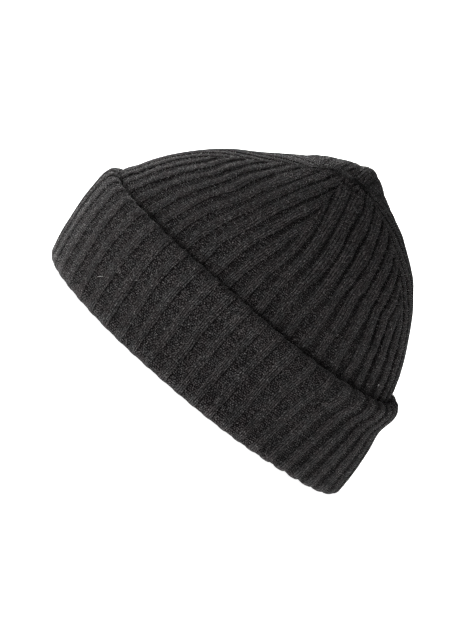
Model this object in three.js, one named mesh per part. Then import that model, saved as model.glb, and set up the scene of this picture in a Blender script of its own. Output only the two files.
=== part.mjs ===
// A ribbed fisherman beanie with a turned-up cuff, standing on its rim.
// Millimetres, +Z up from the rim to the crown, the wearer's face towards -Y and left ear towards +X.
// Two knitted pieces: the crown, a hollow dome of six gores whose wall runs down inside the cuff, and
// the cuff, the same knitting folded up from the rim and tucked back down inside itself at its top edge.
import * as THREE from "three";

// Driving sizes of the knitting
const knitThickness = 3; // one layer, over the raised ribs
const layerGap = 0.5; // air between two layers that lie on each other
const joinGap = 0.3; // between the crown's hem and the cuff that is knitted on to it
const crownRibDepth = 1.4; // how far the sunk columns lie below the raised ribs
const cuffRibDepth = 1.2;

// Driving sizes of the hat
const crownLength = 194; // front to back over the crown's wall, inside the cuff
const crownWidth = 150; // side to side, the same way
const hatHeight = 152; // rim to the crown's highest point
const cuffHeight = 60; // rim to the cuff's upper fold
const castOnRise = 11; // rim to the edge that is tucked inside the cuff
const restWidth = 4; // flat ring under the rim that the hat stands on
const rimRadius = 4.5; // roundness of the rim's fold
const decreaseStart = 98; // rim to where the gores begin to narrow

// The pattern of the ribs
const goreLoss = 0.78; // share of a gore's ribs that end at its lines of decreases, not at the seam
const goreRows = 8; // steps in which a gore narrows to the closing seam
const seamRow = 0.045; // last row before the seam, as a share of the way out from it
const gatherStart = 0.25; // share of the way out from the seam at which the ribs begin to lie down
const goreTurn = -3; // degrees by which the first line of decreases leads the left ear

// The seam that closes the crown, pulled over towards the left ear, and the crease that it makes with
// the mound of knitting that comes over from the other side
const closureX = 21;
const closureY = -2.5;
const closureHalf = 18; // half the seam's length
const creaseX = 22.6;
const creaseY = 4;
const creaseHalf = 12.5;
const creaseWidth = 2.4;
const creaseDepth = 4;
const moundX = 16.5;
const moundWidth = 4.5;
const moundHeight = 1.3;

// Sections behind the cuff. rise is a share of cuffHeight, half and shift of half the crown's length,
// side of half its width.
const bandSections = [
  { rise: 0.0, half: 0.988, shift: 0.032, side: 0.992 },
  { rise: 0.33, half: 1.0, shift: 0.008, side: 1.0 },
  { rise: 0.73, half: 1.0, shift: -0.016, side: 0.994 },
  { rise: 1.0, half: 0.984, shift: -0.016, side: 0.976 },
];
// Sections of the dome above the cuff. rise is a share of the height above the cuff.
const domeSections = [
  { rise: 0.115, half: 0.949, shift: -0.013, side: 0.948 },
  { rise: 0.236, half: 0.89, shift: -0.003, side: 0.905 },
  { rise: 0.358, half: 0.813, shift: 0.013, side: 0.845 },
  { rise: 0.457, half: 0.742, shift: 0.032, side: 0.785 },
  { rise: 0.54, half: 0.666, shift: 0.05, side: 0.72 },
  { rise: 0.661, half: 0.529, shift: 0.08, side: 0.6 },
  { rise: 0.783, half: 0.37, shift: 0.079, side: 0.445 },
  { rise: 0.843, half: 0.288, shift: 0.056, side: 0.36 },
  { rise: 0.904, half: 0.198, shift: 0.041, side: 0.26 },
  { rise: 0.964, half: 0.102, shift: 0.052, side: 0.155 },
  { rise: 0.994, half: 0.036, shift: 0.056, side: 0.06 },
  { rise: 1.0, half: 0, shift: 0.057, side: 0 },
];
// The gores, from the left ear round by the back. first is the share of a gore's loss that its first line
// of decreases takes, and its last line takes the rest.
const gores = [
  { ribs: 10, first: 0.15 },
  { ribs: 8, first: 0.4 },
  { ribs: 7, first: 1.0 },
  { ribs: 8, first: 0.0 },
  { ribs: 8, first: 0.6 },
  { ribs: 10, first: 0.65 },
];
// One raised rib and the sunk columns beside it. at is a share of the pitch, sunk of the ribs' depth.
const ribEdges = [
  { at: 0.44, sunk: 0 },
  { at: 0.56, sunk: 1 },
  { at: 0.88, sunk: 1 },
  { at: 1.0, sunk: 0 },
];

const ribCount = gores.reduce((sum, gore) => sum + gore.ribs, 0);
const foldReach = 2 * (layerGap + knitThickness); // crown wall to the cuff's outer face
const ribMargin = 0.08; // share of the pitch by which a column clears the line it would end at
const samePoint = 1e-6; // corners closer than this are one

// Every section, with its rise and lengths in millimetres
const sections = [
  ...bandSections.map((row) => sized(row, row.rise * cuffHeight)),
  ...domeSections.map((row) => sized(row, cuffHeight + row.rise * (hatHeight - cuffHeight))),
];

function sized(row, rise) {
  return {
    rise,
    half: (row.half * crownLength) / 2,
    shift: (row.shift * crownLength) / 2,
    side: (row.side * crownWidth) / 2,
  };
}

// The slope at each row that a curve needs to pass through all rows of a column without overshooting
function slopesOf(rows, key) {
  const steps = rows.slice(1).map((row, i) => (row[key] - rows[i][key]) / (row.rise - rows[i].rise));
  return rows.map((row, i) => {
    if (i === 0) return steps[0];
    if (i === rows.length - 1) return steps[i - 1];
    const before = steps[i - 1];
    const after = steps[i];
    return before * after <= 0 ? 0 : (2 * before * after) / (before + after);
  });
}
const slopes = {
  half: slopesOf(sections, "half"),
  shift: slopesOf(sections, "shift"),
  side: slopesOf(sections, "side"),
};

// One column of the section table at a height, by cubic pieces between its rows
function column(key, rise) {
  let i = 0;
  while (i < sections.length - 2 && rise > sections[i + 1].rise) i += 1;
  const low = sections[i];
  const high = sections[i + 1];
  const span = high.rise - low.rise;
  const t = THREE.MathUtils.clamp((rise - low.rise) / span, 0, 1);
  const bend = t * t * (3 - 2 * t);
  return (
    low[key] * (1 - bend) +
    high[key] * bend +
    slopes[key][i] * span * t * (1 - t) * (1 - t) -
    slopes[key][i + 1] * span * t * t * (1 - t)
  );
}

// Round the rim in steps of equal length: the ellipse's angle at each share of its perimeter
const perimeterSteps = 720;
const anglesByLength = equalLengths();

function equalLengths() {
  const half = crownLength / 2;
  const side = crownWidth / 2;
  const lengths = [0];
  for (let i = 1; i <= perimeterSteps; i += 1) {
    const angle = ((i - 0.5) / perimeterSteps) * 2 * Math.PI;
    lengths.push(lengths[i - 1] + Math.hypot(side * Math.sin(angle), half * Math.cos(angle)));
  }
  return lengths.map((length) => length / lengths[perimeterSteps]);
}

function angleAt(share) {
  const turns = Math.floor(share);
  const wanted = share - turns;
  let i = 0;
  while (anglesByLength[i + 1] < wanted) i += 1;
  const part = (wanted - anglesByLength[i]) / (anglesByLength[i + 1] - anglesByLength[i]);
  return ((i + part) / perimeterSteps + turns) * 2 * Math.PI;
}

// A point of the crown's wall at a height, moved outwards in the plan
function wallPoint(share, rise, outwards) {
  const angle = angleAt(share + goreTurn / 360);
  const half = column("half", rise);
  const side = column("side", rise);
  const normal = new THREE.Vector2(Math.cos(angle) / side, Math.sin(angle) / half).normalize();
  return new THREE.Vector3(
    side * Math.cos(angle) + outwards * normal.x,
    column("shift", rise) + half * Math.sin(angle) + outwards * normal.y,
    rise,
  );
}

// The dome's height over a point of the plan, found by halving
function domeRise(x, y) {
  let low = 0;
  let high = hatHeight;
  for (let i = 0; i < 40; i += 1) {
    const rise = (low + high) / 2;
    const inX = x / column("side", rise);
    const inY = (y - column("shift", rise)) / column("half", rise);
    if (inX * inX + inY * inY < 1) low = rise;
    else high = rise;
  }
  return low;
}

// How deep the dome is pressed in: a crease along Y beside the mound, both dying out at their ends
function creaseAt(x, y) {
  const across = (x - creaseX) / creaseWidth;
  const over = (x - moundX) / moundWidth;
  const along = (y - creaseY) / creaseHalf;
  return (creaseDepth * Math.exp(-across * across) - moundHeight * Math.exp(-over * over)) * Math.exp(-(along ** 4));
}

// A point of the dome where the gores narrow. near is 1 at their start and 0 at the closing seam, and
// sunk is how far the point lies below the raised ribs.
function domePoint(share, near, sunk) {
  const start = wallPoint(share, decreaseStart, 0);
  const angle = angleAt(share + goreTurn / 360);
  const seam = new THREE.Vector2(closureX, closureY + closureHalf * Math.sin(angle));
  const x = THREE.MathUtils.lerp(seam.x, start.x, near);
  const y = THREE.MathUtils.lerp(seam.y, start.y, near);
  const reach = 0.5; // half the step over which the slope is measured
  const slopeX = (domeRise(x + reach, y) - domeRise(x - reach, y)) / (2 * reach);
  const slopeY = (domeRise(x, y + reach) - domeRise(x, y - reach)) / (2 * reach);
  const normal = new THREE.Vector3(-slopeX, -slopeY, 1).normalize();
  return new THREE.Vector3(x, y, domeRise(x, y)).addScaledVector(normal, -sunk - creaseAt(x, y));
}

// The columns of a row round the hat. near is 1 where the gores start and 0 at the closing seam. order
// counts ribs round the rim, share is the place on the row, and sunk is a share of the ribs' depth. Going
// up, the ribs of a gore end one by one at the lines of decreases on its two sides.
function ringColumns(near) {
  const ring = [];
  let before = 0;
  gores.forEach(({ ribs, first }) => {
    const lost = ribs * goreLoss * (1 - near);
    const kept = ribs - lost;
    const start = lost * first;
    const add = (at, sunk) => {
      ring.push({ order: before + at, share: (before + ((at - start) / kept) * ribs) / ribCount, sunk });
    };
    add(start, 0);
    for (let rib = 0; rib < ribs; rib += 1) {
      ribEdges.forEach((edge) => {
        const at = rib + edge.at;
        if (at > start + ribMargin && at < start + kept - ribMargin) add(at, edge.sunk);
      });
    }
    add(start + kept, 0);
    before += ribs;
  });
  return ring;
}

// One point for each rib, for the faces that nobody sees
const plainColumns = Array.from({ length: ribCount + 1 }, (_, rib) => ({
  order: rib,
  share: rib / ribCount,
  sunk: 0.5,
}));
const ribbedColumns = ringColumns(1);

// Rings of points, from which a closed skin is made
const ringOf = (columns, place) => columns.map((one) => ({ order: one.order, point: place(one) }));
const wallRing = (columns, rise, outwards, depth) =>
  ringOf(columns, (one) => wallPoint(one.share, rise, outwards - one.sunk * depth));

// A skin over a list of rings, each joined to the next by triangles that follow the order of their
// columns. The list runs so that the faces point away from the knitting.
function skinOf(rings, closing) {
  const corners = [];
  const triangle = (a, b, c) => {
    const flat = a.distanceTo(b) < samePoint || b.distanceTo(c) < samePoint || c.distanceTo(a) < samePoint;
    if (!flat) corners.push(a, b, c);
  };
  for (let r = 0; r + 1 < rings.length; r += 1) {
    const low = rings[r];
    const high = rings[r + 1];
    let i = 0;
    let j = 0;
    while (i + 1 < low.length || j + 1 < high.length) {
      const lowNext = low[i + 1]?.order ?? Infinity;
      const highNext = high[j + 1]?.order ?? Infinity;
      if (lowNext <= highNext) {
        triangle(low[i].point, low[i + 1].point, high[j].point);
        i += 1;
      } else {
        triangle(low[i].point, high[j + 1].point, high[j].point);
        j += 1;
      }
    }
  }
  closing.forEach(({ ring, point, up }) => {
    for (let i = 0; i + 1 < ring.length; i += 1) {
      if (up) triangle(ring[i].point, ring[i + 1].point, point);
      else triangle(ring[i + 1].point, ring[i].point, point);
    }
  });
  const geometry = new THREE.BufferGeometry().setFromPoints(corners);
  geometry.computeVertexNormals();
  return geometry;
}

const charcoalWool = () => new THREE.MeshStandardMaterial({ color: 0x2f2d2e, roughness: 0.95, metalness: 0 });

// The crown: outside from the hem to the closing seam, then inside from the seam back to the hem
function makeCrown() {
  const hemRise = rimRadius + knitThickness;
  const rowShares = [0, 0.45, 1]; // between the hem and the cuff's upper fold
  const wallRows = rowShares.map((share) => THREE.MathUtils.lerp(hemRise, cuffHeight, share));
  const domeShares = [0.3, 0.58, 0.82, 1]; // between the cuff's upper fold and the gores' start
  const domeRows = domeShares.map((share) => THREE.MathUtils.lerp(cuffHeight, decreaseStart, share));
  const outside = [...wallRows, ...domeRows].map((rise) => wallRing(ribbedColumns, rise, 0, crownRibDepth));
  const inside = [...wallRows, ...domeRows].map((rise) => wallRing(plainColumns, rise, -knitThickness, 0));

  for (let row = 1; row <= goreRows; row += 1) {
    const near = Math.max(1 - row / goreRows, seamRow);
    const depth = crownRibDepth * Math.min(1, near / gatherStart);
    outside.push(ringOf(ringColumns(near), (one) => domePoint(one.share, near, one.sunk * depth)));
    if (row % 2 === 0) {
      inside.push(ringOf(plainColumns, (one) => domePoint(one.share, near, knitThickness)));
    }
  }
  const outerTip = domePoint(0, 0, 0);
  const innerTip = outerTip.clone().setZ(domePoint(0, 0, knitThickness).z);
  const mesh = new THREE.Mesh(
    skinOf([...inside.slice().reverse(), ...outside], [
      { ring: outside[outside.length - 1], point: outerTip, up: true },
      { ring: inside[inside.length - 1], point: innerTip, up: false },
    ]),
    charcoalWool(),
  );
  mesh.name = "crown";
  return mesh;
}

// The cuff's section, walked round its outline: out is measured from the crown's wall and rise from the rim
function cuffSection() {
  const outer = foldReach;
  const tucked = layerGap + knitThickness; // outer face of the layer that is tucked inside
  const foldMiddle = (outer + layerGap) / 2;
  const bead = 1; // how far the upper fold swells beyond the layers
  const slack = 0.8; // how far the cuff's middle stands off them
  const flatFrom = (outer - knitThickness - restWidth) / 2;
  const corner = rimRadius * (1 - Math.SQRT1_2);
  const lipRise = rimRadius + knitThickness - joinGap;
  return {
    ribbed: [
      { out: flatFrom + restWidth, rise: 0 },
      { out: outer - corner, rise: corner },
      { out: outer, rise: rimRadius },
      { out: outer + slack / 2, rise: cuffHeight * 0.36 },
      { out: outer + slack, rise: cuffHeight * 0.66 },
      { out: outer + bead, rise: cuffHeight - knitThickness * 1.6 },
      { out: outer - knitThickness * 0.4, rise: cuffHeight - knitThickness * 0.4 },
      { out: foldMiddle, rise: cuffHeight },
      { out: layerGap + knitThickness * 0.3, rise: cuffHeight - knitThickness * 0.5 },
    ],
    plain: [
      { out: layerGap, rise: cuffHeight - knitThickness * 1.4 },
      { out: layerGap, rise: cuffHeight * 0.5 },
      { out: layerGap, rise: castOnRise },
      { out: tucked, rise: castOnRise },
      { out: tucked, rise: cuffHeight * 0.5 },
      { out: tucked, rise: cuffHeight - knitThickness * 1.4 },
      { out: foldMiddle + layerGap, rise: cuffHeight - knitThickness },
      { out: outer + slack - knitThickness, rise: cuffHeight * 0.66 },
      { out: outer + slack / 2 - knitThickness, rise: cuffHeight * 0.36 },
      { out: outer - knitThickness, rise: rimRadius + knitThickness / 2 },
      { out: (outer - knitThickness) / 2, rise: knitThickness },
      { out: 0, rise: rimRadius + knitThickness / 2 },
      { out: 0, rise: lipRise },
      { out: -knitThickness, rise: lipRise },
      { out: -knitThickness, rise: rimRadius },
      { out: corner - knitThickness, rise: corner },
      { out: flatFrom, rise: 0 },
    ],
  };
}

// The cuff: its ribbed face and folds, then the faces that lie against the crown and inside the folds
function makeCuff() {
  const { ribbed, plain } = cuffSection();
  const rings = [
    ...ribbed.map(({ out, rise }) => wallRing(ribbedColumns, rise, out, cuffRibDepth)),
    ...plain.map(({ out, rise }) => wallRing(plainColumns, rise, out, 0)),
  ];
  const mesh = new THREE.Mesh(skinOf([...rings, rings[0]], []), charcoalWool());
  mesh.name = "cuff";
  return mesh;
}

const beanie = new THREE.Group();
beanie.add(makeCrown(), makeCuff());

// Stand the hat with the middle of its outline over the origin
const outline = new THREE.Box3().setFromObject(beanie);
const middle = outline.getCenter(new THREE.Vector3());
beanie.position.set(-middle.x, -middle.y, 0);

export default beanie;
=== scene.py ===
import math

import bpy
import numpy as np
from mathutils import Matrix, Vector


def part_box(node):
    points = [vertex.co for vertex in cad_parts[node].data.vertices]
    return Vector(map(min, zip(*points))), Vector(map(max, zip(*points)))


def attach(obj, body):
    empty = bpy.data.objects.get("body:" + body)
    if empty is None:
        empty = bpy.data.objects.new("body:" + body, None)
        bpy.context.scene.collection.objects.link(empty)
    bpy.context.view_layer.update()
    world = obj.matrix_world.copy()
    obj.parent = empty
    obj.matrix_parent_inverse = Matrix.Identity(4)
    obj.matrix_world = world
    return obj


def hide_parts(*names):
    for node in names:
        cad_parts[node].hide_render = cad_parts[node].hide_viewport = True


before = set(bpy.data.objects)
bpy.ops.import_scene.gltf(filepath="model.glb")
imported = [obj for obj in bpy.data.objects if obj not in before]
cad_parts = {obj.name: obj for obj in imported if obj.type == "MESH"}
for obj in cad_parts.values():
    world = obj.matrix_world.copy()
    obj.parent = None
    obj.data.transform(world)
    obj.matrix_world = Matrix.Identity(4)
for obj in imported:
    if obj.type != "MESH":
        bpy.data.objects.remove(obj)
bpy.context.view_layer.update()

mm = 0.001  # everything below is worked out in millimetres and shrunk when it becomes a mesh
turn = 2 * math.pi

# The wearer's face looks towards -Y and the left ear lies towards +X. The surface is the crown's wall
# without its ribs, and everything else is an offset from it.
hat = {
    "length": 194.0,  # front to back over the crown's wall, inside the cuff
    "width": 150.0,
    "height": 152.0,
    "cuffHeight": 60.0,
    "decreaseStart": 98.0,  # where the gores begin to narrow
    "thickness": 3.0,  # one layer of knitting
    "layerGap": 0.5,
    "rimRadius": 4.5,
    "hemRise": 7.5,  # lower edge of the crown's wall, inside the rim
    "castOnRise": 11.0,  # edge of the layer that is tucked inside the cuff
}

# Share of the cuff's height, then shares of half the length and half the width
bandSections = [
    {"rise": 0.0, "half": 0.988, "shift": 0.032, "side": 0.992},
    {"rise": 0.33, "half": 1.0, "shift": 0.008, "side": 1.0},
    {"rise": 0.73, "half": 1.0, "shift": -0.016, "side": 0.994},
    {"rise": 1.0, "half": 0.984, "shift": -0.016, "side": 0.976},
]
# Share of the height above the cuff, then the same
domeSections = [
    {"rise": 0.115, "half": 0.949, "shift": -0.013, "side": 0.948},
    {"rise": 0.236, "half": 0.89, "shift": -0.003, "side": 0.905},
    {"rise": 0.358, "half": 0.813, "shift": 0.013, "side": 0.845},
    {"rise": 0.457, "half": 0.742, "shift": 0.032, "side": 0.785},
    {"rise": 0.54, "half": 0.666, "shift": 0.05, "side": 0.72},
    {"rise": 0.661, "half": 0.529, "shift": 0.08, "side": 0.6},
    {"rise": 0.783, "half": 0.37, "shift": 0.079, "side": 0.445},
    {"rise": 0.843, "half": 0.288, "shift": 0.056, "side": 0.36},
    {"rise": 0.904, "half": 0.198, "shift": 0.041, "side": 0.26},
    {"rise": 0.964, "half": 0.102, "shift": 0.052, "side": 0.155},
    {"rise": 0.994, "half": 0.036, "shift": 0.056, "side": 0.06},
    {"rise": 1.0, "half": 0.0, "shift": 0.057, "side": 0.0},
]

# The rib pattern. Six gores narrow towards the closing, and their ribs end at the lines between them.
# "first" is the part of a gore's loss that its first line takes, and its last line takes the rest. The
# gores go from the left ear round by the back.
gores = [
    {"ribs": 10, "first": 0.15},
    {"ribs": 8, "first": 0.4},
    {"ribs": 7, "first": 1.0},
    {"ribs": 8, "first": 0.0},
    {"ribs": 8, "first": 0.6},
    {"ribs": 10, "first": 0.65},
]
ribs = {
    "loss": 0.78,  # share of a gore's ribs that has ended at the closing
    "goreTurn": -3.0,  # degrees from the left ear to the first gore
    "columnsPerRib": 12,
    "wales": 8,  # stitches in one rib and its valley
    "row": 1.27,  # height of one row of stitches
    "fall": 0.28,  # share of its height by which a rib falls towards its edges
    "swell": 0.12,  # and by which the middle of a valley rises
}
ribCount = sum(gore["ribs"] for gore in gores)
columnCount = ribCount * ribs["columnsPerRib"]

# The closing is a short seam that lies in a crease on the left of the top, under a mound of the knitting
# that comes over from the other side
closing = {
    "x": 21.0,  # the middle of the seam
    "y": -2.5,
    "half": 18.0,  # half its length
    "creaseX": 24.4,
    "creaseY": 2.6,
    "creaseHalf": 8.5,
    "creaseWidth": 1.7,
    "creaseDepth": 4.6,
    "moundX": 16.5,
    "moundY": 7.5,
    "moundHalf": 7.5,
    "moundWidth": 5.0,
    "moundHeight": 0.15,
    "notchY": -1.2,  # a shallow groove across the tip
    "notchLean": 0.05,
    "notchWidth": 2.6,
    "notchDepth": 1.1,
    "sink": 1.3,  # the tip sits this much lower than the ribs round it
    "farX": 18.0,  # the ribs fade out on the top's far side, from this X
    "farOver": 10.0,
    "farFade": 0.8,
    # heights at which each form begins, and over how much it comes in
    "topRise": (118.0, 16.0),
    "sinkRise": (134.0, 14.0),
    "notchRise": (136.0, 8.0),
}


# Cubic pieces through the tables' rows: the slope at a row is the harmonic mean of the steps beside it,
# so the curve never overshoots. Gives the half length, shift and half width at each height.
def sectionCurves(steps=3041):
    rise = [row["rise"] * hat["cuffHeight"] for row in bandSections]
    rise += [hat["cuffHeight"] + row["rise"] * (hat["height"] - hat["cuffHeight"]) for row in domeSections]
    rise = np.array(rise)
    heights = np.linspace(0, hat["height"], steps)
    curves = {"rise": heights}
    for name, size in (("half", hat["length"]), ("shift", hat["length"]), ("side", hat["width"])):
        value = np.array([row[name] for row in bandSections + domeSections]) * size / 2
        step = np.diff(value) / np.diff(rise)
        before, after = step[:-1], step[1:]
        total = np.where(before * after > 0, before + after, 1)
        inner = np.where(before * after > 0, 2 * before * after / total, 0)
        slope = np.concatenate([step[:1], inner, step[-1:]])
        at = np.clip(np.searchsorted(rise, heights, side="right") - 1, 0, len(rise) - 2)
        span = rise[at + 1] - rise[at]
        t = (heights - rise[at]) / span
        bend = t * t * (3 - 2 * t)
        curves[name] = (
            value[at] * (1 - bend)
            + value[at + 1] * bend
            + slope[at] * span * t * (1 - t) ** 2
            - slope[at + 1] * span * t * t * (1 - t)
        )
    return curves


curves = sectionCurves()


# One of those curves at any height, by straight lines between its steps
def sectionAt(name, rise):
    return np.interp(rise, curves["rise"], curves[name])


# The angle on the ellipse at each share of its perimeter, from lengths added up in small steps
def ellipseAngle(share, steps=2880):
    angle = (np.arange(steps) + 0.5) / steps * turn
    length = np.hypot(hat["width"] * np.sin(angle), hat["length"] * np.cos(angle))
    total = np.concatenate([[0], np.cumsum(length)])
    whole = np.floor(share)
    edges = np.linspace(0, turn, steps + 1)
    return np.interp(share - whole, total / total[-1], edges) + whole * turn


# The wall at a height: an ellipse moved along Y,
# (side * cos(angle), shift + half * sin(angle), rise)
def wallPoint(angle, rise):
    x = sectionAt("side", rise) * np.cos(angle)
    y = sectionAt("shift", rise) + sectionAt("half", rise) * np.sin(angle)
    return np.stack([x, y, rise + 0 * angle], axis=-1)


# The dome's height over points of the plan: the height at which the ellipse just reaches them, found
# by halving the span that it lies in
def domeRise(x, y, halvings=34):
    low = np.zeros(x.shape)
    high = np.full(x.shape, hat["height"])
    for _ in range(halvings):
        rise = (low + high) / 2
        side = np.maximum(sectionAt("side", rise), 1e-6)
        half = np.maximum(sectionAt("half", rise), 1e-6)
        inside = (x / side) ** 2 + ((y - sectionAt("shift", rise)) / half) ** 2 < 1
        low = np.where(inside, rise, low)
        high = np.where(inside, high, rise)
    return low


# The gores: straight in the plan from the closing seam, at 0, to the row where they start, at 1
def domePoint(angle, near):
    start = wallPoint(angle, hat["decreaseStart"])
    seamY = closing["y"] + closing["half"] * np.sin(angle)
    x = closing["x"] * (1 - near) + start[..., 0] * near
    y = seamY * (1 - near) + start[..., 1] * near
    return np.stack([x, y, domeRise(x, y)], axis=-1)


# Smooth bumps that never repeat by eye: size * sum of sin(turn * (around * share + up * rise) + phase),
# with seeded directions and phases. The share of the perimeter counts in whole waves, so the two ends of
# a row meet. A kind of waves is its seed, its size, the most waves round the hat, and the height of the
# steepest wave.
def waves(kind, rise, count=9):
    seed, size, most, waveHeight = kind
    source = np.random.default_rng(seed)
    total = np.zeros(np.broadcast(share, rise).shape)
    for _ in range(count):
        around = source.integers(1, most + 1)
        up = source.uniform(-1, 1) / waveHeight
        phase = source.uniform(0, turn)
        total = total + np.sin(turn * (around * share + up * rise) + phase)
    return size * total / math.sqrt(count / 2)


# 0 below 0, 1 above 1, and 3 t^2 - 2 t^3 between
def softStep(value):
    t = np.clip(value, 0, 1)
    return t * t * (3 - 2 * t)


# The same step, from where a span begins and over its length
def comeIn(value, span):
    start, over = span
    return softStep((value - start) / over)


# Height of the ribs at a place counted in ribs: 1 on a raised rib, 0 in the valley. A rib's first edge
# lies at every whole number, and it is as wide as its share of the pitch.
def ribHeight(at, share, edge):
    off = np.abs((at - share / 2 + 0.5) % 1.0 - 0.5)
    raised = softStep((share / 2 + edge - off) / (2 * edge))
    crowned = 1 - ribs["fall"] * np.clip(off / (share / 2), 0, 1) ** 2
    hollow = ribs["swell"] * np.clip((off - share / 2) / (0.5 - share / 2), 0, 1) ** 2
    return raised * crowned + (1 - raised) * hollow


# Counts stitches from ribs: four over the raised rib and four over the valley, however wide each is
def stitchCount(at, share):
    whole = np.floor(at)
    part = at - whole
    half = ribs["wales"] / 2
    onRib = part / share * half
    inValley = half + (part - share) / (1 - share) * half
    return whole * ribs["wales"] + np.where(part < share, onRib, inValley)


# Unit normals of a grid of points that closes on itself round each row: the step along the row crossed
# with the step to the next row
def gridNormals(points):
    across = np.roll(points, -1, axis=1) - np.roll(points, 1, axis=1)
    along = np.gradient(points, axis=0)
    normal = np.cross(across, along)
    size = np.linalg.norm(normal, axis=-1, keepdims=True)
    return normal / np.maximum(size, 1e-9)


# Distance along each column of a grid, from its first row
def lengthAlong(points):
    step = np.linalg.norm(np.diff(points, axis=0), axis=-1)
    return np.concatenate([np.zeros((1, points.shape[1])), np.cumsum(step, axis=0)])


# Each row's average with its neighbours, weighed by exp(-(rows apart / width)^2 / 2). The end rows are
# repeated beyond the ends.
def blurRows(values, width):
    reach = int(width * 3)
    weight = np.exp(-0.5 * (np.arange(-reach, reach + 1) / width) ** 2)
    weight /= weight.sum()
    before, after = np.repeat(values[:1], reach, 0), np.repeat(values[-1:], reach, 0)
    padded = np.concatenate([before, values, after])
    return sum(w * padded[i : i + len(values)] for i, w in enumerate(weight))


# A mesh at the origin from points in millimetres, with stitch coordinates and values at its points
def makeObject(name, points, faces, uv=None, extra=None):
    mesh = bpy.data.meshes.new(name)
    mesh.from_pydata((points * mm).tolist(), [], faces)
    mesh.polygons.foreach_set("use_smooth", np.ones(len(mesh.polygons), dtype=bool))
    if uv is not None:
        layer = mesh.uv_layers.new(name="stitches")
        layer.data.foreach_set("uv", np.asarray(uv, dtype=np.float32).ravel())
    for label, values in (extra or {}).items():
        data = mesh.attributes.new(label, "FLOAT", "POINT").data
        data.foreach_set("value", values.astype(np.float32).ravel())
    mesh.update()
    obj = bpy.data.objects.new(name, mesh)
    bpy.context.scene.collection.objects.link(obj)
    return obj


# Quads between the rows of a grid that closes round each row, and on to the first row again if asked.
# A point's number is row * columns + column.
def gridQuads(rows, columns, closed):
    r = np.arange(rows if closed else rows - 1)[:, None]
    c = np.arange(columns)[None, :]
    nextRow = (r + 1) % rows
    nextColumn = (c + 1) % columns
    corners = [(r, c), (r, nextColumn), (nextRow, nextColumn), (nextRow, c)]
    return np.stack([row * columns + column for row, column in corners], axis=-1).reshape(-1, 4)


# Stitch coordinates of each quad's corners: stitches counted round the row, and rows counted up. A
# quad's right side takes the value from before a line of decreases, and its left side the one from
# after it.
def quadStitches(left, right, down):
    rows = left.shape[0]
    low, high = np.arange(rows - 1), np.arange(1, rows)
    after = np.roll(right, -1, axis=1)
    downAfter = np.roll(down, -1, axis=1)
    u = np.stack([left[low], after[low], after[high], left[high]], axis=-1)
    v = np.stack([down[low], downAfter[low], downAfter[high], down[high]], axis=-1)
    return np.stack([u, v], axis=-1).reshape(-1, 2)


share = np.arange(columnCount) / columnCount  # of the perimeter, for each column of a grid
columnAngle = ellipseAngle(share + ribs["goreTurn"] / 360)
goreStart = np.concatenate([[0], np.cumsum([gore["ribs"] for gore in gores])])
goreOf = np.searchsorted(goreStart, np.arange(columnCount) / ribs["columnsPerRib"], side="right") - 1
plain = 0.4  # the "raised" value of knitting without ribs. "raised" is painted light and shade in the wool's tone: 1 is a rib's lit middle and 0 a valley painted dark as shade

# Zones round the hat: where each begins, in the sine of the angle, and over how much it comes in
zones = {
    "pressed": (0.7, 0.17),
    "front": (-0.1, 0.7),
    "back": (0.55, 0.4),
    "crowded": (0.5, 0.4),
}


# 1 at the forehead, where the crown bulges against the cuff's fold, and 0 from the temples back
def pressedAt(angle):
    return comeIn(-np.sin(angle), zones["pressed"])


# 1 on the front half, where the ribs are drawn smooth and their valleys take less painted shade, and 0
# from the ears back
def frontAt(angle):
    return comeIn(-np.sin(angle), zones["front"])


# 1 at the nape, where the ribs crowd together and their valleys take more painted shade, and 0 from the
# ears forward
def backAt(angle):
    return comeIn(np.sin(angle), zones["back"])


# Ribs counted from the start of the first gore, just after and just before each column. A gore keeps
# 1 - lost of its ribs at each height: its count starts later by first * lost * ribs, and then runs at
# 1 - lost of its pace. The two counts differ where a gore begins, because ribs ended at that line.
def ribPlaces(near):
    size = np.array([gore["ribs"] for gore in gores])
    first = np.array([gore["first"] for gore in gores])
    lost = ribs["loss"] * (1 - near)
    part = np.arange(columnCount) / ribs["columnsPerRib"] - goreStart[goreOf]
    after = goreStart[goreOf] + first[goreOf] * lost * size[goreOf] + part * (1 - lost)
    last = goreStart[goreOf - 1] + size[goreOf - 1] * (1 - (1 - first[goreOf - 1]) * lost)
    return after, np.where(part == 0, last, after)


print("stage: sections and ribs ready")

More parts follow.
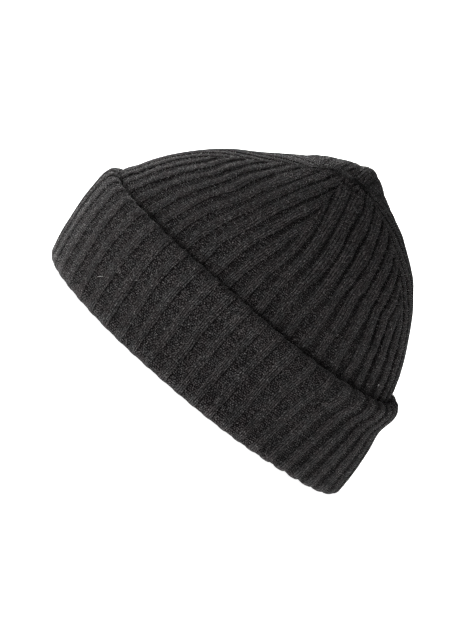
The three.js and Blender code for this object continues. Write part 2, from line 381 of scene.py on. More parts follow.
crown = {
    "hiddenRows": 5,
    "hiddenReach": 7.0,  # how far the coarse rows stop below the cuff's top
    "wallRows": 42,  # from there to the gores
    "goreRows": 70,
    "goreCrowding": 1.15,  # draws the gores' rows towards the seam
    "seamOpen": 0.012,  # the last row stops this near the seam, and a fan of triangles closes it
    "insideRows": 30,
    "joinBlur": 3.0,  # rows over which the wall and the gores are smoothed into each other
    "joinRows": 7.0,
    "ribDepth": 1.0,
    "closedDepth": 1.9,  # where the ribs crowd together
    "ribShare": 0.52,
    "closedShare": 0.81,
    "edge": 0.085,  # half the width of a rib's side, as a share of the pitch
    "closedFrom": 74.0,  # height at which the ribs begin to crowd, at the ears
    "closedLean": 16.0,  # and how much lower it is at the nape
    "closedOver": 46.0,
    "backClosed": 0.35,
    "ribsEnd": 0.16,  # nearness to the seam at which the ribs begin to flatten
    "leastRib": 0.05,
    "wavesEnd": 0.3,
    "frontSoft": 0.55,  # how much shallower the crowded ribs are on the front half
    "frontEdge": 0.05,  # how much softer their edges
    "frontLessShade": 0.65,  # and how much less painted shade their valleys take
    "backDeep": 0.25,  # how much deeper the ribs are at the nape
    "backShade": 0.45,  # and how much more painted shade their valleys take
    # painted shade: how dark the valleys are painted at least, as if shade fell in them
    "valleyShade": 0.35,
    "pressedBulge": 2.2,
    "bulgeBelow": 2.5,  # the bulge begins this far below the cuff's top
    "bulgeIn": 3.0,
    "bulgeAbove": 0.5,  # and fades from this far above it
    "bulgeFade": 6.0,
    "foldShade": 0.12,  # painted shade: tone left on the crown behind the cuff's fold
    "foldShadeEnd": 0.2,
    "foldShadeOver": 1.4,
    # how much of that painted shade is taken off at the forehead, where the crown presses on the fold
    "pressedShade": 0.6,
    # each kind of waves: seed, size, most waves round the hat, height of the steepest
    "wander": (3, 0.05, 14, 60.0),
    "fineWander": (4, 0.022, 45, 20.0),
    "depthWaves": (5, 0.16, 30, 40.0),
    "shareWaves": (6, 0.03, 40, 25.0),
    "surfaceWaves": (7, 0.22, 7, 70.0),
}


# Heights of the wall's rows, and nearness of the gores' rows: 1 where they start and 0 at the seam
def crownRows():
    fine = hat["cuffHeight"] - crown["hiddenReach"]
    hidden = np.linspace(hat["hemRise"], fine, crown["hiddenRows"], endpoint=False)
    wall = np.linspace(fine, hat["decreaseStart"], crown["wallRows"], endpoint=False)
    near = np.linspace(1, 0, crown["goreRows"]) ** crown["goreCrowding"]
    return np.concatenate([hidden, wall]), np.maximum(near, crown["seamOpen"])


# The crown without ribs: ellipses up to the gores and straight gores above them, with the join smoothed
# by mixing in blurred rows, most at the join: exp(-(rows from it / joinRows)^2)
def crownBase():
    wallRise, near = crownRows()
    angle = columnAngle[None, :]
    base = np.concatenate([wallPoint(angle, wallRise[:, None]), domePoint(angle, near[:, None])])
    fromJoin = np.arange(len(base))[:, None, None] - len(wallRise)
    mix = np.exp(-((fromJoin / crown["joinRows"]) ** 2))
    base = base * (1 - mix) + blurRows(base, crown["joinBlur"]) * mix
    return base, np.concatenate([np.ones(len(wallRise)), near])[:, None]


# Relief of the closing: less a bell-shaped crease along the seam, plus a low mound beside it, less a
# groove across the tip, less what the whole tip sinks
def closingRelief(x, y, rise):
    onTop = comeIn(rise, closing["topRise"])
    across = (x - closing["creaseX"]) / closing["creaseWidth"]
    along = (y - closing["creaseY"]) / closing["creaseHalf"]
    crease = closing["creaseDepth"] * np.exp(-(across**2) - along**4)
    across = (x - closing["moundX"]) / closing["moundWidth"]
    along = (y - closing["moundY"]) / closing["moundHalf"]
    mound = closing["moundHeight"] * np.exp(-(across**2) - along**2)
    along = (y - closing["notchY"] - closing["notchLean"] * x) / closing["notchWidth"]
    notch = comeIn(rise, closing["notchRise"]) * closing["notchDepth"] * np.exp(-(along**2))
    return onTop * (mound - crease) - notch - closing["sink"] * comeIn(rise, closing["sinkRise"])


# The bulge over the cuff's fold: it comes in below the cuff's top and fades above it as a bell
def foldBulge(rise):
    above = np.maximum(rise - hat["cuffHeight"] - crown["bulgeAbove"], 0)
    risen = softStep((rise - hat["cuffHeight"] + crown["bulgeBelow"]) / crown["bulgeIn"])
    return crown["pressedBulge"] * risen * np.exp(-((above / crown["bulgeFade"]) ** 2))


# The crown's skin: the base moved along its normals by (rib height - 1) * depth and the other reliefs
# outside, and by the knitting's thickness inside, which is left plain. The rings run down the inside
# from the seam to the hem and up the outside again, and a fan of triangles closes each side at the seam.
def makeCrown():
    base, near = crownBase()
    x, y, rise = base[..., 0], base[..., 1], base[..., 2]
    normal = gridNormals(base)
    angle = columnAngle[None, :]
    front, back, pressed = frontAt(angle), backAt(angle), pressedAt(angle)

    after, before = ribPlaces(near)
    wander = waves(crown["wander"], rise) + waves(crown["fineWander"], rise)
    closedRise = crown["closedFrom"] - crown["closedLean"] * np.sin(angle)
    closed = softStep((rise - closedRise) / crown["closedOver"])
    closed = np.clip(closed + crown["backClosed"] * back, 0, 1)
    ribShare = crown["ribShare"] + (crown["closedShare"] - crown["ribShare"]) * closed
    ribShare = ribShare + waves(crown["shareWaves"], rise)
    edge = crown["edge"] + crown["frontEdge"] * front * closed
    height = ribHeight(after + wander, ribShare, edge)

    depth = crown["ribDepth"] + (crown["closedDepth"] - crown["ribDepth"]) * closed
    depth = depth * (1 - crown["frontSoft"] * front * closed + crown["backDeep"] * back)
    depth = depth * (1 + waves(crown["depthWaves"], rise))
    farSide = softStep((closing["farX"] - x) / closing["farOver"]) * comeIn(rise, closing["topRise"])
    depth = depth * np.clip(near / crown["ribsEnd"], crown["leastRib"], 1)
    depth = depth * (1 - closing["farFade"] * farSide)
    relief = (height - 1) * depth + closingRelief(x, y, rise) + pressed * foldBulge(rise)
    relief = relief + waves(crown["surfaceWaves"], rise) * np.clip(near / crown["wavesEnd"], 0, 1)

    inside = np.unique(np.linspace(0, len(base) - 1, crown["insideRows"]).astype(int))[::-1]
    outer = base + normal * relief[..., None]
    inner = (base - normal * hat["thickness"])[inside]
    rings = np.concatenate([inner, outer])
    down = lengthAlong(base) / ribs["row"]
    stitchAfter = stitchCount(after + wander, ribShare)
    stitchBefore = stitchCount(before + wander - 1e-6, ribShare)  # just before a whole rib
    left = np.concatenate([stitchAfter[inside], stitchAfter])
    right = np.concatenate([stitchBefore[inside], stitchBefore])
    downAll = np.concatenate([down[inside], down])

    # Painted shade: the valleys are painted darker as if shade fell in them, most where the ribs crowd and
    # at the nape, less on the front half
    valley = crown["valleyShade"] + closed * (1 - crown["frontLessShade"] * front) + crown["backShade"] * back
    lit = 1 - (1 - height) * valley
    # Painted shade on the crown just above the cuff's fold, where the fold's shadow falls
    clear = comeIn(rise, (hat["cuffHeight"] + crown["foldShadeEnd"], crown["foldShadeOver"]))
    shade = crown["foldShade"] + (1 - crown["foldShade"]) * clear
    lit = lit * (shade + (1 - shade) * crown["pressedShade"] * pressed)
    # raised carries this painted light and shade; the inside is left plain
    raised = np.concatenate([np.full(inner.size // 3, plain), lit.ravel(), [plain, plain]])

    points = np.concatenate([rings.reshape(-1, 3), [inner[0].mean(axis=0)], [outer[-1].mean(axis=0)]])
    first = np.arange(columnCount)
    following = np.roll(first, -1)
    lastRow = (len(rings) - 1) * columnCount
    innerTip = np.full(columnCount, len(points) - 2)
    caps = np.concatenate([
        np.stack([following, first, innerTip], axis=-1),
        np.stack([lastRow + first, lastRow + following, innerTip + 1], axis=-1),
    ])
    return {
        "points": points,
        "faces": gridQuads(len(rings), columnCount, False).tolist() + caps.tolist(),
        "uv": np.concatenate([quadStitches(left, right, downAll), np.zeros((caps.size, 2))]),
        "raised": raised,
        "outer": outer,
        "normal": normal,
    }


cuff = {
    "outerRows": 64,
    "ribDepth": 0.85,
    "ribShare": 0.46,
    "edge": 0.07,
    "rimRibs": -0.6,  # how much shallower the ribs are over the rim's fold
    "backRibs": 0.9,  # and deeper round the nape
    "backShare": 0.19,  # and how much wider there
    "ribsFade": 14,  # rows over which the ribs fade out behind the top fold
    "rimFade": 5,  # and come back inside the rim
    "waist": 1.4,  # the hollow under the fold at the nape
    "waistAt": 0.72,
    "waistHalf": 0.12,
    "lean": 0.05,  # radians by which the ribs lean over the cuff's height
    "leanSide": 3.0,
    "twist": 0.085,  # radians by which the ribs lean back towards the fold, behind the left ear
    "twistFrom": (0.3, 0.5),  # the angle at which that begins, and over how much
    "twistEnd": 1.5,
    "twistFade": 0.4,
    "twistTop": 0.85,
    "twistBend": 2.5,
    "twistFoot": 0.27,
    "phase": 0.43,  # the folded-up side shows the valleys of the crown as ribs
    "drift": 0.75,  # ribs by which the cuff is pulled round over the left temple
    "driftAngle": 5.06,
    "driftHalf": 0.6,
    "slack": 0.8,  # how far the ribbed face swells between its two folds
    "slackBend": 0.8,
    "bead": 1.0,  # and how much thicker the top fold is
    "beadFrom": (0.72, 0.2),
    "pressedIn": 0.4,
    "pressedUp": -0.6,
    "foldReach": 14.0,  # how far down the fold's own waves and the pressed place reach
    "rimTop": 9.0,
    "rimOver": 6.0,
    "rimPaintedLight": 1.6,  # painted light: the rim is painted paler, as the lit floor under it would light it, and as rubbed wool is paler
    # painted shade in the valleys, and more of it round the nape
    "valleyShade": 0.22,
    "backShade": 0.55,
    # each kind of waves: seed, size, most waves round the hat, height of the steepest
    "wander": (11, 0.02, 16, 55.0),
    "shareWaves": (13, 0.02, 12, 80.0),
    "depthWaves": (17, 0.12, 9, 50.0),
    "surfaceWaves": (19, 0.25, 6, 60.0),
    "foldWaves": (23, 0.5, 5, 50.0),
}


# Points along part of an ellipse: centre + radii * (cos, sin), between two angles in degrees
def arc(centre, radii, start, end, count):
    angle = np.radians(np.linspace(start, end, count))
    return np.array(centre) + np.array(radii) * np.stack([np.cos(angle), np.sin(angle)], axis=-1)


# Points along a straight line, its ends included
def line(start, end, count):
    t = np.linspace(0, 1, count)[:, None]
    return np.array(start) * (1 - t) + np.array(end) * t


# The cuff's section as a closed path of pairs, out from the crown's wall and rise: straight lines and
# parts of ellipses, and a ribbed face that swells by slack * sin(pi * height share)^slackBend. The bare
# numbers are the points of each stretch, and clearances in millimetres that round the hidden corners.
def cuffSection():
    thick, gap, hem = hat["thickness"], hat["layerGap"], hat["castOnRise"]
    top, rim, bead = hat["cuffHeight"], hat["rimRadius"], cuff["bead"]
    outer = 2 * (thick + gap)
    tucked = thick + gap
    radius = (outer + bead - gap) / 2
    fold = top - radius
    rise = np.linspace(rim + 1.0, fold - 1.0, cuff["outerRows"])
    upFace = (rise - rim) / (top - rim)
    swell = cuff["slack"] * np.sin(np.pi * np.clip(upFace, 0, 1)) ** cuff["slackBend"]
    face = outer + swell + bead * comeIn(upFace, cuff["beadFrom"])
    path = [
        arc((outer - rim, rim), (rim, rim), -80, -6, 9),  # out under the rim
        np.stack([face, rise], axis=-1),  # up the ribbed face
        arc(((outer + gap) / 2 + bead / 2, fold), (radius, radius), 8, 172, 17),  # over the top fold
        line((gap, fold - 2), (gap, hem), 5),  # down the tucked layer, against the crown
        line((gap + 0.6, hem - 0.5), (tucked - 0.6, hem - 0.5), 2),  # its lower edge
        line((tucked, hem + 1), (tucked, fold - 3), 4),  # up between the layers
        arc(((tucked + outer) / 2 - 1.2, fold - 2), (0.8, 2.0), 150, 30, 3),  # under the top fold
        line((outer - thick, fold - 4), (outer - thick, rim + thick), 4),  # down the outer layer's back
        line((outer - thick - 0.8, thick + 1.2), (0.6, thick + 1.2), 3),  # in over the rim
        line((0.0, rim + thick / 2), (0.0, hat["hemRise"] - 0.3), 2),  # up to the crown's hem
        line((-thick, hat["hemRise"] - 0.3), (-thick, rim), 2),  # and down inside it
        arc((rim - thick, rim), (rim, rim), 190, 264, 7),  # back under the rim
    ]
    return np.concatenate(path), sum(len(part) for part in path[:3])


# The cuff: that section set out from the wall's ellipse at each angle, plus (rib height - 1) * depth
# along the normals. Its ribs lean, drift and twist by small angles that depend on the place round it.
def makeCuff():
    path, ribbedRows = cuffSection()
    out, rise = path[:, :1], path[:, 1:]
    rows = np.arange(len(path))[:, None]
    angle = columnAngle[None, :]
    back = backAt(angle)
    low = 1 - np.clip(rise / hat["cuffHeight"], 0, 1)
    lean = -cuff["lean"] * (1 + np.sin(angle)) * np.tanh(cuff["leanSide"] * np.cos(angle)) * low
    twistAt = comeIn(angle, cuff["twistFrom"]) * softStep((cuff["twistEnd"] - angle) / cuff["twistFade"])
    twist = np.clip((1 - low) / cuff["twistTop"], 0, 1) ** cuff["twistBend"] - cuff["twistFoot"]
    leaned = angle + lean + cuff["twist"] * twist * twistAt

    side, half = sectionAt("side", rise), sectionAt("half", rise)
    outward = np.stack([np.cos(leaned) / side, np.sin(leaned) / half], axis=-1)
    outward /= np.linalg.norm(outward, axis=-1, keepdims=True)
    waist = cuff["waist"] * np.exp(-(((1 - low - cuff["waistAt"]) / cuff["waistHalf"]) ** 2))
    flat = wallPoint(leaned, rise)
    flat[..., :2] += outward * (out - waist * back * (rows < ribbedRows))[..., None]
    normal = gridNormals(np.concatenate([flat[-1:], flat, flat[:1]]))[1:-1]

    place = share * ribCount + cuff["phase"] + waves(cuff["wander"], rise)
    place = place + cuff["drift"] * np.exp(-(((angle - cuff["driftAngle"]) / cuff["driftHalf"]) ** 2))
    crowded = cuff["backShare"] * comeIn(np.sin(angle), zones["crowded"])
    ribShare = cuff["ribShare"] + crowded + waves(cuff["shareWaves"], rise)
    height = ribHeight(place, ribShare, cuff["edge"])
    ribbed = softStep((ribbedRows - rows) / cuff["ribsFade"])
    ribbed = ribbed + softStep((rows - len(path) + cuff["rimFade"]) / cuff["rimFade"])
    atRim = softStep((cuff["rimTop"] - rise) / cuff["rimOver"])
    depth = cuff["ribDepth"] * (1 + waves(cuff["depthWaves"], rise)) * ribbed
    depth = depth * (1 + cuff["rimRibs"] * atRim + cuff["backRibs"] * back)
    relief = (height - 1) * depth + waves(cuff["surfaceWaves"], rise) * ribbed

    points = flat + normal * relief[..., None]
    foldUp = softStep((rise - hat["cuffHeight"] + cuff["foldReach"]) / cuff["foldReach"])
    pressed = pressedAt(angle) * foldUp
    points[..., :2] -= outward * (pressed * cuff["pressedIn"])[..., None]
    points[..., 2] += pressed * cuff["pressedUp"] + foldUp * waves(cuff["foldWaves"], 0 * rise)
    points[..., 2] = np.maximum(points[..., 2], 0)

    down = lengthAlong(flat) / ribs["row"]
    stitch = stitchCount(place, ribShare)
    after = stitch.copy()
    after[:, 0] += ribCount * ribs["wales"]
    left = np.concatenate([stitch, stitch[:1]])
    right = np.concatenate([after, after[:1]])
    downAll = np.concatenate([down, down[-1:] + 1])
    # Painted shade: the ribbed face's valleys are painted darker, most round the nape; the rest is plain
    valley = cuff["valleyShade"] + cuff["backShade"] * back
    raised = np.where(rows < ribbedRows, 1 - (1 - height) * valley, plain)
    # Painted light on the rim, paler towards the floor
    raised = raised * (1 + cuff["rimPaintedLight"] * softStep((cuff["rimTop"] - rise) / cuff["rimTop"]))
    return {
        "points": points.reshape(-1, 3),
        "faces": gridQuads(len(points), columnCount, True).tolist(),
        "uv": quadStitches(left, right, downAll),
        "raised": raised,
        "outer": points[:ribbedRows],
        "normal": normal[:ribbedRows],
    }


crownGrid = makeCrown()
cuffGrid = makeCuff()
print("stage: crown", len(crownGrid["faces"]), "faces, cuff", len(cuffGrid["faces"]), "faces")

# The frame's box of the cuff says where the hat stands
cuffLow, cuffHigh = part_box("cuff")
cadMiddle = (np.array(cuffLow[:2]) + np.array(cuffHigh[:2])) / 2 / mm
ownMiddle = (cuffGrid["points"].min(axis=0)[:2] + cuffGrid["points"].max(axis=0)[:2]) / 2
move = np.array([*(cadMiddle - ownMiddle), 0.0])


# One knitted piece from its grid, in the place of a node of the frame
def pieceFrom(name, grid, node):
    obj = makeObject(name, grid["points"] + move, grid["faces"], grid["uv"], {"raised": grid["raised"]})
    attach(obj, "root")
    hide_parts(node)
    return obj


crownPiece = pieceFrom("crown_knitting", crownGrid, "crown")
cuffPiece = pieceFrom("cuff_knitting", cuffGrid, "cuff")


nap = {
    "count": 25000,  # fibres on each piece
    "shortest": 0.3,
    "longest": 1.6,
    "width": 0.03,  # half a fibre's width at its root
    "leastLean": 25.0,  # degrees from the surface's normal
    "mostLean": 82.0,
    "rootDepth": 0.12,  # how deep a fibre's root stands in the knitting
    "tone": 0.7,  # of the palest fibre, where lint is 1
    "crownLowest": hat["cuffHeight"],  # fibres grow only above these heights
    "cuffLowest": 1.5,
    "seed": 41,
}
# The two specks of lint: the place, how far off the knitting, which way it points, length and half width
crownLint = {
    "y": 81.6, "z": 66.9, "lift": 1.4, "heading": (0.0, 0.2, -0.9), "length": 1.5, "width": 0.46,
}
cuffLint = {
    "y": -67.4, "z": 19.7, "lift": 0.4, "heading": (0.0, -0.707, -0.707), "length": 2.9, "width": 0.24,
}


# Loose fibres over a grid's outside, each a slender closed spike of four faces. Its root is a random
# place on a random quad, chosen by area, and it leans away from the surface's normal:
# tip = root + length * (normal * cos(lean) + tangent * sin(lean)). The first fibre is the speck of lint.
def makeNap(name, grid, seed, lowest, lint):
    source = np.random.default_rng(seed)
    count = nap["count"]
    points, normal = grid["outer"], grid["normal"][-len(grid["outer"]):]
    across = np.roll(points, -1, axis=1) - points
    along = np.diff(points, axis=0)
    area = np.linalg.norm(np.cross(across[:-1], along), axis=-1).ravel()
    area[points[:-1, :, 2].ravel() < lowest] = 0
    cell = source.choice(len(area), count, p=area / area.sum())
    row, column = np.divmod(cell, columnCount)
    a, b = source.random(count)[:, None], source.random(count)[:, None]
    root = points[row, column] + a * across[row, column] + b * along[row, column]
    up = normal[row, column]
    loose = source.normal(size=(count, 3))
    tangent = loose - (loose * up).sum(axis=1, keepdims=True) * up
    tangent /= np.linalg.norm(tangent, axis=1, keepdims=True)
    lean = np.radians(source.uniform(nap["leastLean"], nap["mostLean"], (count, 1)))
    length = nap["shortest"] + (nap["longest"] - nap["shortest"]) * source.random((count, 1)) ** 2
    heading = up * np.cos(lean) + tangent * np.sin(lean)
    width = np.full((count, 1), nap["width"])
    tone = nap["tone"] * source.random(count)

    away = np.hypot(points[..., 1] - lint["y"], points[..., 2] - lint["z"])
    away = np.where(points[..., 0] < 0, np.inf, away)
    spot = np.unravel_index(away.argmin(), away.shape)
    up[0] = normal[spot]
    root[0] = points[spot] + lint["lift"] * up[0]
    heading[0] = np.array(lint["heading"]) + 0.1 * up[0]
    length[0], width[0], tone[0] = lint["length"], lint["width"], 1.0

    side = np.cross(heading, up)
    side /= np.maximum(np.linalg.norm(side, axis=1, keepdims=True), 1e-9)
    other = np.cross(heading, side)
    root = root - up * nap["rootDepth"]
    thirds = (0, turn / 3, 2 * turn / 3)
    corners = [root + width * (side * math.cos(t) + other * math.sin(t)) for t in thirds]
    corners.append(root + heading * (length + nap["rootDepth"]))
    first = 4 * np.arange(count)[:, None]
    spike = ((0, 1, 3), (1, 2, 3), (2, 0, 3), (2, 1, 0))
    faces = np.concatenate([first + np.array(face) for face in spike])
    points = np.stack(corners, axis=1).reshape(-1, 3)
    obj = makeObject(name, points + move, faces.tolist(), None, {"tone": np.repeat(tone, 4)})
    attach(obj, "root")
    return obj


crownNap = makeNap("crown_nap", crownGrid, nap["seed"], nap["crownLowest"], crownLint)
cuffNap = makeNap("cuff_nap", cuffGrid, nap["seed"] + 1, nap["cuffLowest"], cuffLint)
print("stage: nap ready")


# Wraps a socket, so that sums on it add Math nodes. Any other node comes from make, which takes its
# type, its settings and the values or wires of its sockets.
class Wire:
    def __init__(self, tree, socket=None):
        self.tree = tree
        self.socket = socket

    def make(self, kind, settings=None, inputs=None, output=0):
        node = self.tree.nodes.new(kind)
        for name, value in (settings or {}).items():
            setattr(node, name, value)
        for key, value in (inputs or {}).items():
            if isinstance(value, Wire):
                self.tree.links.new(value.socket, node.inputs[key])
            else:
                node.inputs[key].default_value = value
        return Wire(self.tree, node.outputs[output] if len(node.outputs) else None)

    def maths(self, operation, *values, clamp=False):
        inputs = dict(enumerate(values))
        return self.make("ShaderNodeMath", {"operation": operation, "use_clamp": clamp}, inputs)

    def __add__(self, other):
        return self.maths("ADD", self, other)

    def __sub__(self, other):
        return self.maths("SUBTRACT", self, other)

    def __rsub__(self, other):
        return self.maths("SUBTRACT", other, self)

    def __mul__(self, other):
        return self.maths("MULTIPLY", self, other)

    def __truediv__(self, other):
        return self.maths("DIVIDE", self, other)

    def __rtruediv__(self, other):
        return self.maths("DIVIDE", other, self)

    def __pow__(self, other):
        return self.maths("POWER", self, other)

    def __rpow__(self, other):
        return self.maths("POWER", other, self)

    __radd__ = __add__
    __rmul__ = __mul__

    def fraction(self):
        return self.maths("FRACT", self)

    def floor(self):
        return self.maths("FLOOR", self)

    def size(self):
        return self.maths("ABSOLUTE", self)

    def cosine(self):
        return self.maths("COSINE", self)

    def clamped(self):
        return self.maths("ADD", self, 0.0, clamp=True)

    # 0 below low, 1 above high, smooth between
    def ramp(self, low, high, lowValue=0.0, highValue=1.0):
        return self.make(
            "ShaderNodeMapRange",
            {"interpolation_type": "SMOOTHSTEP"},
            {"Value": self, "From Min": low, "From Max": high, "To Min": lowValue, "To Max": highValue},
        )

    # Mixes two colours, 0 the first and 1 the second
    def blend(self, first, second):
        return self.make("ShaderNodeMix", {"data_type": "RGBA"}, {"Factor": self, 6: first, 7: second}, 2)


wool = {
    "dark": (0.0022, 0.0020, 0.0021, 1),
    "cool": (0.0785, 0.0775, 0.0785, 1),
    "warm": (0.086, 0.0765, 0.077, 1),
    "fleck": (0.34, 0.325, 0.32, 1),
    "napDark": (0.02, 0.019, 0.0192, 1),
    "napLight": (0.8, 0.78, 0.76, 1),
    "napThrough": (0.95, 0.94, 0.93, 1),  # of the light from behind
    "napShare": 0.75,  # how much of a fibre's look is light from behind
    "roughness": 0.95,
    "sheen": 0.08,
    "sheenSpread": 0.35,
    "edgeShade": 0.35,  # painted shade: tone left in the thin groove along one side of each rib, where the rib's shadow falls
    "shadedValleyTone": 0.4,  # painted shade: tone left in the darkest valley
    "fleckTone": 0.9,
    "heatherTone": 0.28,  # how much the heathered yarn, the fuzz and wide patches change the tone
    "fuzzTone": 0.4,
    "patchTone": 0.22,
    "ownTone": 0.6,  # how much one stitch may differ from the next, above the least
    "ownLeast": 0.66,
    "knitTone": 0.18,  # how much darker the leaning legs are than the bumps
    "contrast": 1.35,
    "stitchBump": 0.0004,  # metres
    "fuzzBump": 0.00013,
    "swayAcross": 0.6,  # stitches by which the yarn strays in a valley
    "swayDown": 0.9,
    "knitSwayAcross": 0.35,  # and how much less on a rib
    "knitSwayDown": 0.3,
    # how many spots of each kind of noise there are to a metre
    "wanderAcross": 300.0,
    "wanderDown": 420.0,
    "fuzz": 1700.0,
    "heather": 700.0,
    "hue": 170.0,
    "patch": 60.0,
}


# An empty material and a wire to build it from
def newMaterial(name):
    material = bpy.data.materials.new(name)
    material.use_nodes = True
    material.node_tree.nodes.clear()
    return material, Wire(material.node_tree)


# Knitted wool. A stitch is one unit of the surface's coordinates each way: two leaning legs of yarn on
# the raised ribs and a staggered bump in the valleys, each stitch with a tone of its own. A leg's height
# is 1 - edge^2.4 - (1 - edge)^3 / 4, with edge 0 in the stitch's middle and 1 at its sides, and a bump's
# is a cosine each way, multiplied.
def woolMaterial():
    material, wire = newMaterial("ribbed_wool")
    stitches = wire.make("ShaderNodeUVMap", {"uv_map": "stitches"})
    u = wire.make("ShaderNodeSeparateXYZ", None, {0: stitches}, 0)
    v = wire.make("ShaderNodeSeparateXYZ", None, {0: stitches}, 1)
    place = wire.make("ShaderNodeTexCoord", None, None, 3)
    # raised is the painted light and shade that each piece carries at its points
    raised = wire.make("ShaderNodeAttribute", {"attribute_name": "raised"}, None, 2)

    def noise(scale, detail=2.0, roughness=0.5):
        settings = {"Vector": place, "Scale": scale, "Detail": detail, "Roughness": roughness}
        return wire.make("ShaderNodeTexNoise", None, settings, 0)

    inRib = (u / ribs["wales"]).fraction()
    knit = 1 - inRib.ramp(0.485, 0.515)
    u = u + (noise(wool["wanderAcross"]) - 0.5) * (wool["swayAcross"] - knit * wool["knitSwayAcross"])
    v = v + (noise(wool["wanderDown"]) - 0.5) * (wool["swayDown"] - knit * wool["knitSwayDown"])
    fromMiddle = (u.fraction() - 0.5).size()
    edge = fromMiddle * 2.0
    leg = 1 - edge**2.4 - ((1 - edge) ** 3.0) * 0.25
    rowWave = ((v - fromMiddle * 1.3) * turn).cosine() * 0.5 + 0.5
    knitHeight = leg * (rowWave * 0.25 + 0.75)
    shifted = u + v.floor() * 0.5
    bump = ((shifted * turn).cosine() * 0.5 + 0.5) * ((v * turn).cosine() * -0.5 + 0.5)
    purlHeight = (bump**0.7) * 0.72 + 0.2
    stitchHeight = knitHeight * knit + purlHeight * (1 - knit)

    cell = wire.make("ShaderNodeCombineXYZ", None, {0: u.floor(), 1: v.floor()})
    own = wire.make("ShaderNodeTexWhiteNoise", {"noise_dimensions": "2D"}, {"Vector": cell}, 0)
    fuzz = noise(wool["fuzz"], 4.0, 0.7)
    heather = noise(wool["heather"], 3.0, 0.65)
    patch = noise(wool["patch"], 3.0)

    # Painted shade: the tone follows each stitch's height, darker where the yarn lies low
    tone = stitchHeight - 0.12 + (heather.ramp(0.3, 0.72) - 0.5) * wool["heatherTone"]
    tone = tone + (fuzz.ramp(0.3, 0.7) - 0.5) * wool["fuzzTone"] + (patch - 0.5) * wool["patchTone"]
    tone = tone * (own * wool["ownTone"] + wool["ownLeast"]) * (1.0 - knit * wool["knitTone"])
    # Painted shade: a thin dark line along one side of each rib
    tone = tone * (inRib - 0.52).size().ramp(0.0, 0.06, wool["edgeShade"], 1.0)
    # Painted light and shade from raised: darker valleys and fold, a paler cuff rim
    tone = (tone * (raised * (1 - wool["shadedValleyTone"]) + wool["shadedValleyTone"])).clamped()
    # The flecks are dimmer where raised paints shade
    flecks = fuzz.ramp(0.58, 0.68) * (raised * 0.45 + 0.4) * wool["fleckTone"]
    light = noise(wool["hue"], 2.0).ramp(0.36, 0.64).blend(wool["cool"], wool["warm"])
    colour = flecks.blend((tone ** wool["contrast"]).blend(wool["dark"], light), wool["fleck"])

    relief = {"Strength": 1.0, "Distance": wool["stitchBump"], "Height": stitchHeight}
    relief = wire.make("ShaderNodeBump", None, relief)
    relief = {"Strength": 1.0, "Distance": wool["fuzzBump"], "Height": fuzz, "Normal": relief}
    shader = wire.make(
        "ShaderNodeBsdfPrincipled",
        None,
        {
            "Base Color": colour,
            "Roughness": wool["roughness"],
            "Specular IOR Level": 0.0,
            "Sheen Weight": wool["sheen"],
            "Sheen Roughness": wool["sheenSpread"],
            "Normal": wire.make("ShaderNodeBump", None, relief),
        },
    )
    wire.make("ShaderNodeOutputMaterial", None, {"Surface": shader})
    return material


# The fibres' own finish: the same wool, lighter because light shines through it. A fibre's colour goes
# from dark to light by its tone cubed.
def napMaterial():
    material, wire = newMaterial("wool_nap")
    tone = wire.make("ShaderNodeAttribute", {"attribute_name": "tone"}, None, 2)
    front = wire.make(
        "ShaderNodeBsdfPrincipled",
        None,
        {
            "Base Color": (tone**3.0).blend(wool["napDark"], wool["napLight"]),
            "Roughness": 0.9,
            "Specular IOR Level": 0.1,
        },
    )
    through = wire.make("ShaderNodeBsdfTranslucent", None, {"Color": wool["napThrough"]})
    shader = wire.make("ShaderNodeMixShader", None, {0: wool["napShare"], 1: front, 2: through})
    wire.make("ShaderNodeOutputMaterial", None, {"Surface": shader})
    return material


ribbedWool = woolMaterial()
for piece in (crownPiece, cuffPiece):
    piece.data.materials.append(ribbedWool)
woolNap = napMaterial()
for piece in (crownNap, cuffNap):
    piece.data.materials.append(woolNap)
print("stage: wool ready")

studio = {
    "floorHalf": 60.0,  # metres from the hat to the floor's edges
    "floorColour": (0.8, 0.8, 0.8, 1),
    "floorGlow": 0.95,  # the floor is a lit table, so that it stays white under the hat
    "world": 0.16,
    "aim": (0.0, 0.0, 0.07),
    "lights": [
        {"name": "key", "place": (0.75, -1.4, 0.4), "power": 9.7, "size": 1.0},
        {"name": "rim", "place": (-1.5, -1.1, 0.45), "power": 128.0, "size": 1.0},
        {"name": "back", "place": (-1.5, 1.1, 0.6), "power": 4.0, "size": 0.8},
        {"name": "fill", "place": (1.6, 0.38, 0.3), "power": 9.4, "size": 1.2},
    ],
}


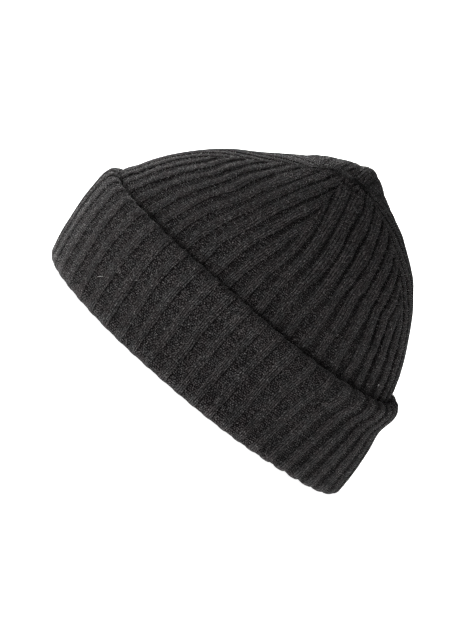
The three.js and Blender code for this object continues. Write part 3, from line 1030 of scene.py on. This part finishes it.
# A flat white floor, one quad, and an even white world
def makeStage():
    far = studio["floorHalf"]
    corners = [(-far, -far, 0), (far, -far, 0), (far, far, 0), (-far, far, 0)]
    mesh = bpy.data.meshes.new("floor")
    mesh.from_pydata(corners, [], [(0, 1, 2, 3)])
    floor = bpy.data.objects.new("floor", mesh)
    bpy.context.scene.collection.objects.link(floor)
    material = bpy.data.materials.new("floor")
    material.use_nodes = True
    shader = material.node_tree.nodes["Principled BSDF"]
    shader.inputs["Base Color"].default_value = studio["floorColour"]
    shader.inputs["Roughness"].default_value = 0.9
    shader.inputs["Specular IOR Level"].default_value = 0.0
    shader.inputs["Emission Color"].default_value = (1, 1, 1, 1)
    shader.inputs["Emission Strength"].default_value = studio["floorGlow"]
    mesh.materials.append(material)

    world = bpy.data.worlds.new("studio")
    world.use_nodes = True
    world.node_tree.nodes["Background"].inputs["Color"].default_value = (1, 1, 1, 1)
    world.node_tree.nodes["Background"].inputs["Strength"].default_value = studio["world"]
    bpy.context.scene.world = world


# A round soft light, turned so that its -Z points at the hat
def addLight(name, place, power, size):
    light = bpy.data.lights.new(name, "AREA")
    light.energy = power
    light.shape = "DISK"
    light.size = size
    obj = bpy.data.objects.new(name, light)
    obj.location = place
    obj.rotation_mode = "QUATERNION"
    obj.rotation_quaternion = (Vector(studio["aim"]) - Vector(place)).to_track_quat("-Z", "Y")
    bpy.context.scene.collection.objects.link(obj)


view = {
    "elevation": 8.5,  # degrees
    "roll": 40.3,  # degrees by which the picture shows the hat turned clockwise
    "distance": 1.8,  # metres
    "pictureHeight": 0.3405,  # what the picture's long side covers at the hat's middle
    "aim": (0.0, -0.0032, 0.0416),
}


# The camera stands at the left ear's side and looks along -X, a little from above. Its upward
# direction is the hat's, turned anticlockwise in the picture.
def makeCamera():
    scene = bpy.context.scene
    data = bpy.data.cameras.new("camera")
    data.sensor_fit = "AUTO"
    data.sensor_width = 36.0
    data.lens = data.sensor_width * view["distance"] / view["pictureHeight"]
    data.clip_start = 0.05
    data.clip_end = 400.0
    camera = bpy.data.objects.new("camera", data)
    scene.collection.objects.link(camera)
    scene.camera = camera
    lift, roll = math.radians(view["elevation"]), math.radians(view["roll"])
    back = Vector((math.cos(lift), 0.0, math.sin(lift)))
    right = Vector((0.0, 1.0, 0.0))
    up = back.cross(right)
    pictureUp = up * math.cos(roll) - right * math.sin(roll)
    pictureRight = right * math.cos(roll) + up * math.sin(roll)
    turned = Matrix((pictureRight, pictureUp, back)).transposed()
    camera.rotation_mode = "QUATERNION"
    camera.rotation_quaternion = turned.to_quaternion()
    camera.location = Vector(view["aim"]) + back * view["distance"]


makeStage()
makeCamera()
for light in studio["lights"]:
    addLight(**light)
bpy.context.scene.view_settings.view_transform = "Standard"
print("stage: studio and camera ready")
